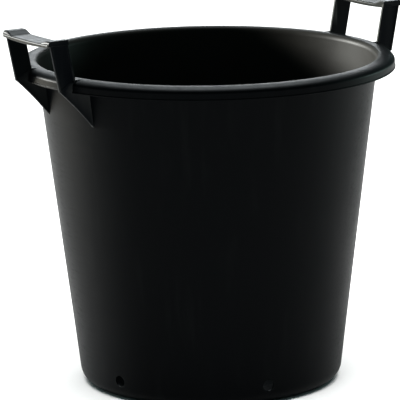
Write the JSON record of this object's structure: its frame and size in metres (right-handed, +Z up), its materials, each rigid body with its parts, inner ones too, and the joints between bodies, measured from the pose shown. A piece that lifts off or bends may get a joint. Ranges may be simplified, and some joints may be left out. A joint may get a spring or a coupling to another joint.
{
  "type": "plant and florist tub",
  "caption": "Round tapered black plastic tub with a thick rolled rim, two raised lifting handles and drain holes low in its wall.",
  "frame": {"origin": "on the tub's axis, on the ground under its standing ring", "axes": "+Z up along the tub's axis; X from handle to handle, with the left handle at -X; the front is -Y"},
  "size_m": [0.546, 0.4898, 0.4825],
  "materials": {
    "tub_plastic": "semi-matte moulded polypropylene, near black",
    "handle_plastic": "semi-matte moulded polypropylene, near black, polished on the grip"
  },
  "bodies": {
    "root": {"tub": "tub_plastic", "left_handle": "handle_plastic", "right_handle": "handle_plastic"}
  },
  "joints": []
}
